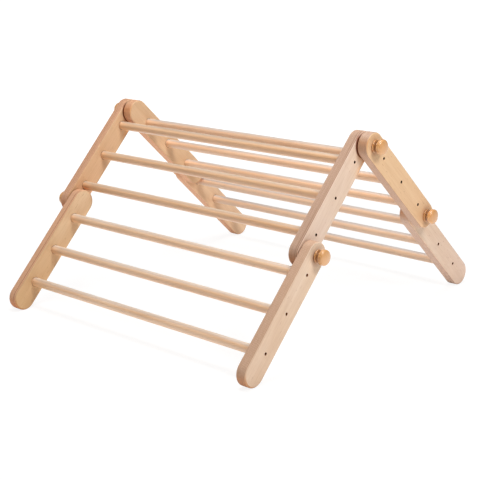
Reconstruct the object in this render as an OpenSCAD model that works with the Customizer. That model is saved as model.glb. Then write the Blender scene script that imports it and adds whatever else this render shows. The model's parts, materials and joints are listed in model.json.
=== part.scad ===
// Folding climbing triangle for children: four equal ladder sections, each with
// two plywood rails and three round rungs, joined by three clamped hinge lines
// (apex, front knee, rear knee). Millimetres, +Z up, X along the rungs,
// -Y towards the front side. The origin is at floor level, in the middle of the footprint.

/* [Ladders] */
// Width of one ladder over the outer faces of its rails
ladder_w = 906; // [600:2:1100]
// Distance from one hinge line to the next, and from the knee to the centre of the rounded foot
hinge_pitch = 330; // [300:5:420]
// Lean of each side of the triangle from the vertical, in degrees
half_angle = 45.4; // [38:0.1:52]
// Gap between the two rails that overlap at a hinge
lane_gap = 4; // [2:0.5:8]

/* [Rails] */
// Width of a rail, which is also the diameter of its rounded ends
rail_w = 70; // [64:1:80]
// Thickness of a rail
rail_t = 30; // [28:1:36]
// Bevel that stands for the softened long edges
rail_edge = 2.4; // [1:0.1:4]

/* [Rungs] */
// Diameter of a rung
rung_d = 25; // [22:0.5:30]
// Depth of the blind socket that holds a rung end
socket_depth = 14; // [10:1:14]

/* [Rung screws] */
// Diameter of the round recess over each rung screw
recess_d = 8; // [8:0.1:10]
// Depth of the recess, down to the seat of the screw head
recess_depth = 8; // [6:0.5:9]
// Diameter of the screw's shank
screw_d = 5; // [4:0.5:5]
// Length of the screw's shank
screw_len = 30; // [25:1:40]

/* [Knobs] */
// Diameter of the knob's head
knob_d = 40; // [36:0.5:44]
// Diameter of the collar that clamps the rails
collar_d = 34; // [30:0.5:36]
// Diameter of the neck between collar and head
neck_d = 19; // [18:0.5:22]
// Length of the knob from collar to crown
knob_len = 28.5; // [26:0.5:34]

/* [Hinge hardware] */
// Diameter of the threaded stud that is the hinge pin
stud_d = 8; // [6:1:8]
// Radial running clearance of the stud in the outer rail
stud_clear = 0.08; // [0.02:0.01:0.1]
// Outer diameter of the threaded insert in the inner rail
insert_d = 12; // [12:0.5:14]
// Length of the threaded insert
insert_len = 18; // [14:1:20]
// Diameter of the plain washer under the knob
washer_d = 24; // [20:1:28]
// Thickness of the plain washer
washer_t = 2; // [1:0.5:3]
// Diameter of the spacer ring between the overlapping rails
spacer_d = 30; // [24:1:40]

/* [Hidden] */

$fn = 72;

birch_face = "#E6CCAE";
birch_rung = "#E2C49B";
honey_wood = "#D99A55";
steel = "#B9BBBD";
dark_steel = "#4A443E";
brass = "#C9A24B";
nylon = "#3A2A20";

// Sideways step between two ladders that meet at a hinge
lane = rail_t + lane_gap;
// Ladders of the left lane (front upper, rear lower) and of the right lane
lane_left = -lane / 2;
lane_right = lane / 2;
// Distance of each rung from the hinge line above it
rung_at = [hinge_pitch / 6, hinge_pitch / 2, hinge_pitch * 5 / 6];
// Height of the apex hinge line over the floor
apex_z = 2 * hinge_pitch * cos(half_angle) + rail_w / 2;
// Hinge points in the side view: [y, z]
apex = [0, apex_z];
front_knee = [-hinge_pitch * sin(half_angle), apex_z - hinge_pitch * cos(half_angle)];
rear_knee = [hinge_pitch * sin(half_angle), apex_z - hinge_pitch * cos(half_angle)];
// X of the outermost rail faces
side_x = ladder_w / 2 + lane / 2;
fit_gap = 0.05;
head_d = recess_d - 0.6;
head_h = 3;

// ---- placing -------------------------------------------------------------

// Puts a ladder piece, drawn hanging down from the origin, at its hinge point
module place(at, lean, x) {
    translate([x, at[0], at[1]]) rotate([lean, 0, 0]) children();
}
module in_front_upper() { place(apex, -half_angle, lane_left) children(); }
module in_rear_upper() { place(apex, half_angle, lane_right) children(); }
module in_front_lower() { place(front_knee, -half_angle, lane_right) children(); }
module in_rear_lower() { place(rear_knee, half_angle, lane_left) children(); }

// Puts hinge hardware, drawn along +Z with the outer rail's face at z = 0, at one end of a hinge line
module on_hinge(at, side) {
    translate([side * side_x, at[0], at[1]]) rotate([0, side * 90, 0]) children();
}

// ---- rails ---------------------------------------------------------------

// Disc with bevelled rims, axis along X, centred in the rail's thickness
module rail_end() {
    rotate([0, 90, 0]) rotate_extrude()
        polygon([[0, -rail_t / 2], [rail_w / 2 - rail_edge, -rail_t / 2], [rail_w / 2, -rail_t / 2 + rail_edge],
                 [rail_w / 2, rail_t / 2 - rail_edge], [rail_w / 2 - rail_edge, rail_t / 2], [0, rail_t / 2]]);
}

// Rail with fully rounded ends, hanging from its upper hinge hole
module rail_blank() {
    rail_end();
    translate([0, 0, -hinge_pitch]) rail_end();
    translate([0, 0, -hinge_pitch]) linear_extrude(height = hinge_pitch)
        polygon([[-rail_t / 2 + rail_edge, -rail_w / 2], [rail_t / 2 - rail_edge, -rail_w / 2],
                 [rail_t / 2, -rail_w / 2 + rail_edge], [rail_t / 2, rail_w / 2 - rail_edge],
                 [rail_t / 2 - rail_edge, rail_w / 2], [-rail_t / 2 + rail_edge, rail_w / 2],
                 [-rail_t / 2, rail_w / 2 - rail_edge], [-rail_t / 2, -rail_w / 2 + rail_edge]]);
}

// Hole along X that starts at depth d0 under the rail's outer face and ends at depth d1
module bore_x(side, r, d0, d1) {
    a = side * (rail_t / 2 - d0);
    b = side * (rail_t / 2 - d1);
    translate([min(a, b), 0, 0]) rotate([0, 90, 0]) cylinder(r = r, h = abs(a - b));
}

// Hole of a hinge: clear through for the stud, or a blind seat for the insert
module hinge_hole(side, kind) {
    if (kind == "through") bore_x(side, stud_d / 2 + stud_clear, -1, rail_t + 1);
    if (kind == "insert") bore_x(side, insert_d / 2 + fit_gap, -1, insert_len + 4);
}

// One rail: side is 1 for the right and -1 for the left rail of a ladder
module rail(side, top_hinge, low_hinge) {
    color(birch_face) translate([side * (ladder_w - rail_t) / 2, 0, 0]) difference() {
        rail_blank();
        hinge_hole(side, top_hinge);
        translate([0, 0, -hinge_pitch]) hinge_hole(side, low_hinge);
        for (d = rung_at) translate([0, 0, -d]) {
            bore_x(side, rung_d / 2 + fit_gap, rail_t - socket_depth, rail_t + 1);
            bore_x(side, recess_d / 2, -1, recess_depth);
            bore_x(side, screw_d / 2 + fit_gap, recess_depth - 1, rail_t - socket_depth + 1);
        }
    }
}

// ---- rungs and their screws ----------------------------------------------

rung_len = ladder_w - 2 * rail_t + 2 * socket_depth - 1;

// Round rung with eased ends and a pilot hole for each screw
module rung(n) {
    pilot = screw_len - (rail_t - recess_depth - socket_depth) + 1;
    color(birch_rung) translate([0, 0, -rung_at[n - 1]]) rotate([0, 90, 0]) difference() {
        rotate_extrude()
            polygon([[0, -rung_len / 2], [rung_d / 2 - 1.2, -rung_len / 2], [rung_d / 2, -rung_len / 2 + 1.2],
                     [rung_d / 2, rung_len / 2 - 1.2], [rung_d / 2 - 1.2, rung_len / 2], [0, rung_len / 2]]);
        for (s = [-1, 1]) translate([0, 0, s > 0 ? rung_len / 2 - pilot : -rung_len / 2 - 1])
            cylinder(r = screw_d / 2 + fit_gap, h = pilot + 1);
    }
}

// Flat-topped screw with a hexagonal socket, head at z = 0 to head_h and shank below
module screw() {
    difference() {
        rotate_extrude()
            polygon([[0, -screw_len], [screw_d / 2, -screw_len + 5], [screw_d / 2, 0], [head_d / 2, 0],
                     [head_d / 2, head_h - 0.6], [head_d / 2 - 0.6, head_h], [0, head_h]]);
        translate([0, 0, head_h - 2]) cylinder(r = 1.75, h = 3, $fn = 6);
    }
}

// The six screws of one ladder
module screw_set() {
    color(dark_steel) for (side = [-1, 1], d = rung_at)
        translate([side * (ladder_w / 2 - recess_depth), 0, -d]) rotate([0, side * 90, 0]) screw();
}

// ---- hinge hardware, drawn along +Z from the outer rail's face -------------

// Quarter-round corner points of a turned profile, from angle a0 to angle a1
function arc(c, r, a0, a1, n = 8) = [for (i = [0:n]) let (a = a0 + (a1 - a0) * i / n) [c[0] + r * cos(a), c[1] + r * sin(a)]];

collar_h = 4.5;
head_back = knob_len - 15.8;
back_round = 4.5;
front_round = 5.5;
crown = 2.2;
crown_r = knob_d / 2 - front_round * (1 - cos(74));

// Turned knob: thin collar, narrow neck and a thick head with a low crown, with a blind hole for the stud
module knob() {
    color(honey_wood) translate([0, 0, washer_t]) difference() {
        rotate_extrude() polygon(concat(
            [[0, 0]],
            arc([collar_d / 2 - 1.5, 1.5], 1.5, -90, 0),
            arc([collar_d / 2 - 1.5, collar_h - 1.5], 1.5, 0, 90),
            arc([neck_d / 2 + 2, collar_h + 2], 2, -90, -180),
            arc([neck_d / 2 + 2, head_back - 2], 2, 180, 90),
            arc([knob_d / 2 - back_round, head_back + back_round], back_round, -90, 0),
            arc([knob_d / 2 - front_round, knob_len - crown - front_round * sin(74)], front_round, 0, 74),
            [for (t = [0.75, 0.5, 0.25]) [crown_r * t, knob_len - crown * t * t]], [[0, knob_len]]
        ));
        translate([0, 0, -1]) cylinder(r = stud_d / 2 + fit_gap, h = knob_len - 8 + 1);
    }
}

stud_in_knob = knob_len - 10;
stud_in_insert = insert_len - 1;

// Threaded stud, fixed in the knob and turning in the insert
module stud() {
    top = washer_t + stud_in_knob;
    low = -(rail_t + lane_gap + stud_in_insert);
    color(steel) rotate_extrude()
        polygon([[0, low], [stud_d / 2 - 1, low], [stud_d / 2, low + 1], [stud_d / 2, top - 1], [stud_d / 2 - 1, top], [0, top]]);
}

// Plain ring with a hole for the stud
module ring(d, h) {
    difference() {
        cylinder(d = d, h = h);
        translate([0, 0, -1]) cylinder(r = stud_d / 2 + stud_clear, h = h + 2);
    }
}

// Plain washer, free of the rail below it and of the knob above it
module washer() { color(steel) translate([0, 0, fit_gap]) ring(washer_d, washer_t - 2 * fit_gap); }

// Spacer ring, seated on the inner rail and free of the outer rail
module spacer() { color(nylon) translate([0, 0, -rail_t - lane_gap]) ring(spacer_d, lane_gap - fit_gap); }

// Threaded insert, flush with the inner rail's face
module insert() {
    color(brass) translate([0, 0, -rail_t - lane_gap - insert_len]) difference() {
        rotate_extrude() polygon([
            [0, 0], [insert_d / 2 - 1, 0], [insert_d / 2 - 1, 3], [insert_d / 2, 4], [insert_d / 2 - 1, 4],
            [insert_d / 2 - 1, 7], [insert_d / 2, 8], [insert_d / 2 - 1, 8], [insert_d / 2 - 1, 11],
            [insert_d / 2, 12], [insert_d / 2, insert_len], [0, insert_len]]);
        translate([0, 0, -1]) cylinder(r = stud_d / 2 + fit_gap, h = insert_len + 2);
    }
}

// ---- the pieces ------------------------------------------------------------

module front_upper_rail_left() { in_front_upper() rail(-1, "through", "through"); }
module front_upper_rail_right() { in_front_upper() rail(1, "insert", "insert"); }
module front_upper_rung(n) { in_front_upper() rung(n); }
module front_upper_screws() { in_front_upper() screw_set(); }

module rear_upper_rail_left() { in_rear_upper() rail(-1, "insert", "insert"); }
module rear_upper_rail_right() { in_rear_upper() rail(1, "through", "through"); }
module rear_upper_rung(n) { in_rear_upper() rung(n); }
module rear_upper_screws() { in_rear_upper() screw_set(); }

module front_lower_rail_left() { in_front_lower() rail(-1, "insert", "none"); }
module front_lower_rail_right() { in_front_lower() rail(1, "through", "none"); }
module front_lower_rung(n) { in_front_lower() rung(n); }
module front_lower_screws() { in_front_lower() screw_set(); }

module rear_lower_rail_left() { in_rear_lower() rail(-1, "through", "none"); }
module rear_lower_rail_right() { in_rear_lower() rail(1, "insert", "none"); }
module rear_lower_rung(n) { in_rear_lower() rung(n); }
module rear_lower_screws() { in_rear_lower() screw_set(); }

front_upper_rail_left();
front_upper_rail_right();
front_upper_rung(1);  // front_upper_rung_1
front_upper_rung(2);  // front_upper_rung_2
front_upper_rung(3);  // front_upper_rung_3
front_upper_screws();

rear_upper_rail_left();
rear_upper_rail_right();
rear_upper_rung(1);  // rear_upper_rung_1
rear_upper_rung(2);  // rear_upper_rung_2
rear_upper_rung(3);  // rear_upper_rung_3
rear_upper_screws();

front_lower_rail_left();
front_lower_rail_right();
front_lower_rung(1);  // front_lower_rung_1
front_lower_rung(2);  // front_lower_rung_2
front_lower_rung(3);  // front_lower_rung_3
front_lower_screws();

rear_lower_rail_left();
rear_lower_rail_right();
rear_lower_rung(1);  // rear_lower_rung_1
rear_lower_rung(2);  // rear_lower_rung_2
rear_lower_rung(3);  // rear_lower_rung_3
rear_lower_screws();

on_hinge(apex, -1) knob();  // apex_left_knob
on_hinge(apex, -1) stud();  // apex_left_stud
on_hinge(apex, -1) washer();  // apex_left_washer
on_hinge(apex, -1) spacer();  // apex_left_spacer
on_hinge(apex, -1) insert();  // apex_left_insert

on_hinge(apex, 1) knob();  // apex_right_knob
on_hinge(apex, 1) stud();  // apex_right_stud
on_hinge(apex, 1) washer();  // apex_right_washer
on_hinge(apex, 1) spacer();  // apex_right_spacer
on_hinge(apex, 1) insert();  // apex_right_insert

on_hinge(front_knee, -1) knob();  // front_knee_left_knob
on_hinge(front_knee, -1) stud();  // front_knee_left_stud
on_hinge(front_knee, -1) washer();  // front_knee_left_washer
on_hinge(front_knee, -1) spacer();  // front_knee_left_spacer
on_hinge(front_knee, -1) insert();  // front_knee_left_insert

on_hinge(front_knee, 1) knob();  // front_knee_right_knob
on_hinge(front_knee, 1) stud();  // front_knee_right_stud
on_hinge(front_knee, 1) washer();  // front_knee_right_washer
on_hinge(front_knee, 1) spacer();  // front_knee_right_spacer
on_hinge(front_knee, 1) insert();  // front_knee_right_insert

on_hinge(rear_knee, -1) knob();  // rear_knee_left_knob
on_hinge(rear_knee, -1) stud();  // rear_knee_left_stud
on_hinge(rear_knee, -1) washer();  // rear_knee_left_washer
on_hinge(rear_knee, -1) spacer();  // rear_knee_left_spacer
on_hinge(rear_knee, -1) insert();  // rear_knee_left_insert

on_hinge(rear_knee, 1) knob();  // rear_knee_right_knob
on_hinge(rear_knee, 1) stud();  // rear_knee_right_stud
on_hinge(rear_knee, 1) washer();  // rear_knee_right_washer
on_hinge(rear_knee, 1) spacer();  // rear_knee_right_spacer
on_hinge(rear_knee, 1) insert();  // rear_knee_right_insert
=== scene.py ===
import json
import math
from math import cos, pi, radians, sin

import bpy
from mathutils import Matrix, Vector
from mathutils.geometry import delaunay_2d_cdt

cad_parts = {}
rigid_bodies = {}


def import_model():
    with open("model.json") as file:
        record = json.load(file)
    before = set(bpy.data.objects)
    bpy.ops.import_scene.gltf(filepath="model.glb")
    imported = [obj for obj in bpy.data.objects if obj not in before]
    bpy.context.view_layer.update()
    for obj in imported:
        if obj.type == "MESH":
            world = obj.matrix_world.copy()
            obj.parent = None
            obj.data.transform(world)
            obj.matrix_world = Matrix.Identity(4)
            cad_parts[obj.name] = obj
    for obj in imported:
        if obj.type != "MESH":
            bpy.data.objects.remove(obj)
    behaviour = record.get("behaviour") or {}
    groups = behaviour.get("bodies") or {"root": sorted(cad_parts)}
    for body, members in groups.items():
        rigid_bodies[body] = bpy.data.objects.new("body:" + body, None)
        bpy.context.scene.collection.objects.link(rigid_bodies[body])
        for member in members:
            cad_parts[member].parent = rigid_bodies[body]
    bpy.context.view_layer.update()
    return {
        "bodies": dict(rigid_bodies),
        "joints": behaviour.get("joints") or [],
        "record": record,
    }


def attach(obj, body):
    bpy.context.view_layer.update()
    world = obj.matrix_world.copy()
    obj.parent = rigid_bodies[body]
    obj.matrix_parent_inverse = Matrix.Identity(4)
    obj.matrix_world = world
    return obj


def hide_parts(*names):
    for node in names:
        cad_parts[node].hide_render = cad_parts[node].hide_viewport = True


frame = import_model()
record = frame["record"]
joints = {j["name"]: j for j in frame["joints"]}

# ----------------------------------------------------------------------------
# sizes of the object, in metres
# ----------------------------------------------------------------------------
APEX = Vector(joints["apex_fold"]["pos_m"])
FRONT_KNEE = Vector(joints["front_knee_fold"]["pos_m"])
REAR_KNEE = Vector(joints["rear_knee_fold"]["pos_m"])
PITCH = (FRONT_KNEE - APEX).length
LEAN = math.atan2(abs(FRONT_KNEE.y), APEX.z - FRONT_KNEE.z)
LADDER_W, RAIL_T, LANE_GAP = 0.906, 0.030, 0.004
RAIL_R = 0.03499
ROUND = 0.0040
LANE = RAIL_T + LANE_GAP
SIDE_X = LADDER_W / 2 + LANE / 2
RUNG_R, SOCKET = 0.0125, 0.014
RUNG_AT = (PITCH / 6, PITCH / 2, PITCH * 5 / 6)
RECESS_R, RECESS_DEPTH, SCREW_R, SCREW_LEN = 0.0040, 0.008, 0.0025, 0.030
FIT = 0.00005
LADDERS = {
    "front_upper": (APEX, -LEAN, -LANE / 2),
    "rear_upper": (APEX, LEAN, LANE / 2),
    "front_lower": (FRONT_KNEE, -LEAN, LANE / 2),
    "rear_lower": (REAR_KNEE, LEAN, -LANE / 2),
}
HINGES = {
    ("front_upper", -1): ("through", "through"),
    ("front_upper", 1): ("insert", "insert"),
    ("rear_upper", -1): ("insert", "insert"),
    ("rear_upper", 1): ("through", "through"),
    ("front_lower", -1): ("insert", "none"),
    ("front_lower", 1): ("through", "none"),
    ("rear_lower", -1): ("through", "none"),
    ("rear_lower", 1): ("insert", "none"),
}


# light: the even light of the room, the light the floor sends back, and round soft lights given as
# (azimuth, elevation, distance, diameter, power in watts for red, green and blue)
ROOM = (0.14, 0.14, 0.14)
FLOOR_WHITE, FLOOR_GLOW = 0.80, (0.42, 0.42, 0.42)
LIGHTS = {
    "key": (81, 39, 2.6, 0.8, (24.0, 24.0, 24.0)),
    "overhead": (0, 88, 2.4, 1.6, (43.5, 43.5, 43.5)),
    "left_fill": (272, 9, 2.6, 1.8, (15.0, 15.0, 15.0)),
}


# ----------------------------------------------------------------------------
# mesh building
# ----------------------------------------------------------------------------
class Shape:
    """Collects vertices, faces, the material of each face and the normal at each corner."""

    def __init__(self):
        self.co, self.faces, self.mats, self.normals = [], [], [], []

    def point(self, x, y, z):
        self.co.append((x, y, z))
        return len(self.co) - 1

    def face(self, corners, mat, normals):
        self.faces.append(tuple(corners))
        self.mats.append(mat)
        self.normals.extend(tuple(n) for n in normals)

    def strip(self, loop_a, loop_b, mat, normals_a, normals_b):
        """Quads between two closed loops of equal length."""
        n = len(loop_a)
        for i in range(n):
            k = (i + 1) % n
            self.face(
                (loop_a[i], loop_a[k], loop_b[k], loop_b[i]),
                mat,
                (normals_a[i], normals_a[k], normals_b[k], normals_b[i]),
            )

    def build(self, name, materials, slot_name, placed, seed, tint=((1, 1, 1), (1, 1, 1)), rim=(1, 1, 1),
              plies=(-1, -1, 0.0), mates=(0, 0), knobs=(0, 0), hole_shade=1.0):
        """One object, already in its place. Its own axes stay in the vertex attribute own, which the materials
        follow. tint gives the tone of the wood at the upper and at the lower end, rim that of a cut edge, and on the
        rails both also hold painted shade; plies gives the numbers of two dark plies with their strength. mates tells
        on which face, +x or -x, another rail lies against this one at the upper and at the lower hinge, where the gap
        shade is painted, and knobs on which face a knob stands there, with a painted shadow round it. The last
        argument sets how light the walls of the bored holes are painted, standing in for the shade inside them."""
        mesh = bpy.data.meshes.new(name)
        mesh.from_pydata([tuple(placed @ Vector(c)) for c in self.co], [], self.faces)
        for m in materials:
            mesh.materials.append(m)
        mesh.polygons.foreach_set("material_index", self.mats)
        mesh.polygons.foreach_set("use_smooth", [True] * len(self.faces))
        layer = mesh.attributes.new("seed", "FLOAT", "POINT")
        layer.data.foreach_set("value", [seed] * len(self.co))
        own = mesh.attributes.new("own", "FLOAT_VECTOR", "POINT")
        own.data.foreach_set("vector", [v for c in self.co for v in c])
        layer = mesh.attributes.new("tint", "FLOAT_VECTOR", "POINT")
        values = []
        for c in self.co:
            t = min(1.0, max(0.0, -c[2] / PITCH))
            values += [u + (v - u) * t for u, v in zip(*tint)]
        layer.data.foreach_set("vector", values)
        layer = mesh.attributes.new("rim", "FLOAT_VECTOR", "POINT")
        layer.data.foreach_set("vector", list(rim) * len(self.co))
        layer = mesh.attributes.new("plies", "FLOAT_VECTOR", "POINT")
        layer.data.foreach_set("vector", list(plies) * len(self.co))
        layer = mesh.attributes.new("mates", "FLOAT_VECTOR", "POINT")
        layer.data.foreach_set("vector", [*mates, 0.0] * len(self.co))
        layer = mesh.attributes.new("knobs", "FLOAT_VECTOR", "POINT")
        layer.data.foreach_set("vector", [*knobs, 0.0] * len(self.co))
        layer = mesh.attributes.new("hole_shade", "FLOAT_VECTOR", "POINT")
        layer.data.foreach_set("vector", [hole_shade] * 3 * len(self.co))
        turn = placed.to_3x3()
        layer = mesh.attributes.new("lift", "FLOAT_VECTOR", "POINT")
        layer.data.foreach_set("vector", list(turn[2]) * len(self.co))
        mesh.update()
        mesh.normals_split_custom_set([tuple(turn @ Vector(n)) for n in self.normals])
        mesh.update()
        obj = bpy.data.objects.new(name, mesh)
        bpy.context.scene.collection.objects.link(obj)
        return obj


def unit(v):
    v = Vector(v)
    return v.normalized() if v.length else v


def lathe_into(shape, profile, mats, sides=48, phase=0.0, close_start=True, close_end=True, crease=35.0, place=None):
    """Turns a profile of (radius, height) points about the local X axis. Height runs along +X.
    A corner sharper than crease degrees keeps a hard edge. mats gives one material per profile segment, or one for all."""
    place = place or Matrix.Identity(4)
    turn = place.to_3x3()
    n = len(profile)
    mats = [mats] * (n - 1) if isinstance(mats, int) else mats
    seg = []
    for i in range(n - 1):
        (r0, h0), (r1, h1) = profile[i], profile[i + 1]
        d = Vector((r1 - r0, h1 - h0))
        d.normalize()
        seg.append((d.y, -d.x))  # outward normal: (radial, axial)
    starts, ends = [], []
    for i in range(n - 1):
        def joined(a, b):
            va, vb = Vector(seg[a]), Vector(seg[b])
            if va.dot(vb) < cos(radians(crease)):
                return None
            return tuple((va + vb).normalized())
        starts.append((joined(i - 1, i) if i > 0 else None) or seg[i])
        ends.append((joined(i, i + 1) if i < n - 2 else None) or seg[i])
    rings = []
    for r, h in profile:
        if r < 1e-9:
            p = place @ Vector((h, 0, 0))
            rings.append([shape.point(*p)])
        else:
            ring = []
            for k in range(sides):
                a = phase + 2 * pi * k / sides
                p = place @ Vector((h, r * cos(a), r * sin(a)))
                ring.append(shape.point(*p))
            rings.append(ring)

    def normal(na, k):
        a = phase + 2 * pi * k / sides
        return turn @ Vector((na[1], na[0] * cos(a), na[0] * sin(a)))

    for i in range(n - 1):
        a, b = rings[i], rings[i + 1]
        for k in range(sides):
            m = (k + 1) % sides
            if len(a) == 1 and len(b) == 1:
                continue
            if len(a) == 1:
                mid = unit(normal(starts[i], k) + normal(starts[i], k + 1))
                shape.face((a[0], b[m], b[k]), mats[i], (mid, normal(ends[i], k + 1), normal(ends[i], k)))
            elif len(b) == 1:
                mid = unit(normal(ends[i], k) + normal(ends[i], k + 1))
                shape.face((a[k], a[m], b[0]), mats[i], (normal(starts[i], k), normal(starts[i], k + 1), mid))
            else:
                shape.face(
                    (a[k], a[m], b[m], b[k]), mats[i],
                    (normal(starts[i], k), normal(starts[i], k + 1), normal(ends[i], k + 1), normal(ends[i], k)),
                )


def outline(inset, arc_n=40, straight_n=22):
    """Points and outward directions of the rail's outline in its (y, z) plane, hinge end at z = 0."""
    r = RAIL_R - inset
    pts, out = [], []
    for i in range(arc_n):
        a = pi * i / arc_n
        pts.append((r * cos(a), r * sin(a)))
        out.append((cos(a), sin(a)))
    for i in range(straight_n):
        pts.append((-r, -PITCH * i / straight_n))
        out.append((-1.0, 0.0))
    for i in range(arc_n):
        a = pi + pi * i / arc_n
        pts.append((r * cos(a), -PITCH + r * sin(a)))
        out.append((cos(a), sin(a)))
    for i in range(straight_n):
        pts.append((r, -PITCH + PITCH * i / straight_n))
        out.append((1.0, 0.0))
    return pts, out


def circle(cy, cz, r, sides, phase=0.0):
    return [(cy + r * cos(phase + 2 * pi * k / sides), cz + r * sin(phase + 2 * pi * k / sides)) for k in range(sides)]


def flat_with_holes(shape, x, outer_ids, outer_pts, holes, up, mat):
    """Fills a flat face at height x between the outer loop and the holes. holes: [(ids, points, centre, radius)]."""
    ids = list(outer_ids)
    pts = [Vector(p) for p in outer_pts]
    edges = [(i, (i + 1) % len(pts)) for i in range(len(pts))]
    for hole_ids, hole_pts, _, _ in holes:
        base = len(pts)
        ids += hole_ids
        pts += [Vector(p) for p in hole_pts]
        edges += [(base + i, base + (i + 1) % len(hole_pts)) for i in range(len(hole_pts))]
    # guide points down the middle of the board keep the triangles well shaped
    guide = []
    steps = 30
    for i in range(steps + 1):
        z = RAIL_R * 0.45 - (PITCH + RAIL_R * 0.9) * i / steps
        for y in (-0.017, 0.0, 0.017):
            if all((Vector((y, z)) - Vector(c)).length > rad * 1.35 + 0.0015 for _, _, c, rad in holes):
                guide.append((y, z))
    for g in guide:
        pts.append(Vector(g))
        ids.append(shape.point(x, g[0], g[1]))
    vo, _, fo, ov, _, _ = delaunay_2d_cdt(pts, edges, [], 0, 1e-9)
    normal = (1.0 if up else -1.0, 0.0, 0.0)
    back = {}
    for new, old in enumerate(ov):
        if old:
            back[new] = ids[old[0]]
        else:
            back[new] = shape.point(x, vo[new][0], vo[new][1])
    r_out = RAIL_R - ROUND
    for f in fo:
        c = sum((vo[i] for i in f), Vector((0, 0))) / len(f)
        zc = min(0.0, max(-PITCH, c[1]))
        if (Vector((c[0], c[1])) - Vector((0, zc))).length > r_out:
            continue
        if any((c - Vector(hc)).length < hr * 0.985 for _, _, hc, hr in holes):
            continue
        a, b, d = (vo[i] for i in f)
        area = (b[0] - a[0]) * (d[1] - a[1]) - (b[1] - a[1]) * (d[0] - a[0])
        order = list(f) if (area > 0) == up else list(f)[::-1]
        shape.face([back[i] for i in order], mat, [normal] * len(order))


FACE, EDGE, BORE = 0, 1, 2


def make_rail(name, side, top, low):
    """A plywood rail in its own axes: x through the thickness, z along the length, hinge hole at the origin."""
    s = Shape()
    half = RAIL_T / 2
    profile = []  # (inset, x, normal out, normal x, material of the strip that follows)
    steps = 7
    for i in range(steps + 1):
        a = (pi / 2) * i / steps
        profile.append((ROUND * (1 - sin(a)), half - ROUND * (1 - cos(a)), sin(a), cos(a)))
    for i in range(1, 4):
        profile.append((0.0, (half - ROUND) * (1 - 2 * i / 4), 1.0, 0.0))
    for i in range(steps + 1):
        a = (pi / 2) * i / steps
        profile.append((ROUND * (1 - cos(a)), -(half - ROUND) - ROUND * sin(a), cos(a), -sin(a)))
    loops, norms, loop_pts = [], [], []
    for inset, x, no, nx in profile:
        pts, out = outline(inset)
        loops.append([s.point(x, p[0], p[1]) for p in pts])
        norms.append([(nx, o[0] * no, o[1] * no) for o in out])
        loop_pts.append(pts)
    for k in range(len(loops) - 1):
        # outward winding: the outline runs anticlockwise in (y, z) and x falls from loop to loop
        s.strip(loops[k + 1], loops[k], EDGE, norms[k + 1], norms[k])

    def passage(cy, cz, stations, sides, mats, blind=False):
        """A stepped hole from the outer face inwards. stations: (depth, radius). Returns its first and last rim."""
        rings = []
        for depth, r in stations:
            x = side * (half - depth)
            rings.append([s.point(x, cy + r * cos(2 * pi * k / sides), cz + r * sin(2 * pi * k / sides)) for k in range(sides)])
        for i in range(len(rings) - 1):
            (d0, r0), (d1, r1) = stations[i], stations[i + 1]
            t = Vector((r1 - r0, d1 - d0)).normalized()
            nr, nd = -t.y, t.x  # towards the hole's free space: radial in, and along the depth
            ns = []
            for k in range(sides):
                a = 2 * pi * k / sides
                ns.append((-side * nd, nr * cos(a), nr * sin(a)))
            for k in range(sides):
                m = (k + 1) % sides
                quad = (rings[i][k], rings[i][m], rings[i + 1][m], rings[i + 1][k])
                nn = (ns[k], ns[m], ns[m], ns[k])
                if side < 0:
                    quad, nn = quad[::-1], nn[::-1]
                s.face(quad, mats[i], nn)
        if blind:
            depth = stations[-1][0]
            mid = s.point(side * (half - depth), cy, cz)
            n0 = (float(side), 0.0, 0.0)
            for k in range(sides):
                m = (k + 1) % sides
                tri = (rings[-1][k], rings[-1][m], mid)
                s.face(tri if side > 0 else tri[::-1], mats[-1], (n0,) * 3)
        return rings[0], rings[-1]

    outer_holes, inner_holes = [], []
    rim, ring = 0.0004, 0.0008
    for d in RUNG_AT:
        sides = 40
        stations = [
            (0.0, RECESS_R + rim * 0.6), (rim * 0.3, RECESS_R + rim * 0.2), (rim, RECESS_R), (RECESS_DEPTH, RECESS_R),
            (RECESS_DEPTH, SCREW_R + FIT), (RAIL_T - SOCKET, SCREW_R + FIT), (RAIL_T - SOCKET, RUNG_R + FIT),
            (RAIL_T - ring, RUNG_R + FIT), (RAIL_T, RUNG_R + FIT + ring),
        ]
        first, last = passage(0, -d, stations, sides, [FACE, FACE, BORE, BORE, BORE, BORE, BORE, BORE])
        outer_holes.append((first, circle(0, -d, stations[0][1], sides), (0, -d), stations[0][1]))
        inner_holes.append((last, circle(0, -d, stations[-1][1], sides), (0, -d), stations[-1][1]))
    for z, kind in ((0.0, top), (-PITCH, low)):
        sides = 32
        if kind == "through":
            r = 0.004 + 0.00008
            stations = [(0, r + rim), (rim, r), (RAIL_T - rim, r), (RAIL_T, r + rim)]
            first, last = passage(0, z, stations, sides, [FACE, BORE, FACE])
            outer_holes.append((first, circle(0, z, r + rim, sides), (0, z), r + rim))
            inner_holes.append((last, circle(0, z, r + rim, sides), (0, z), r + rim))
        elif kind == "insert":
            r = 0.006 + FIT
            stations = [(0, r + rim), (rim, r), (0.022, r)]
            first, _ = passage(0, z, stations, sides, [FACE, BORE], blind=True)
            outer_holes.append((first, circle(0, z, r + rim, sides), (0, z), r + rim))
    plus, minus = (outer_holes, inner_holes) if side > 0 else (inner_holes, outer_holes)
    flat_with_holes(s, half, loops[0], loop_pts[0], plus, True, FACE)
    flat_with_holes(s, -half, loops[-1], loop_pts[-1], minus, False, FACE)
    return s


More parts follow.
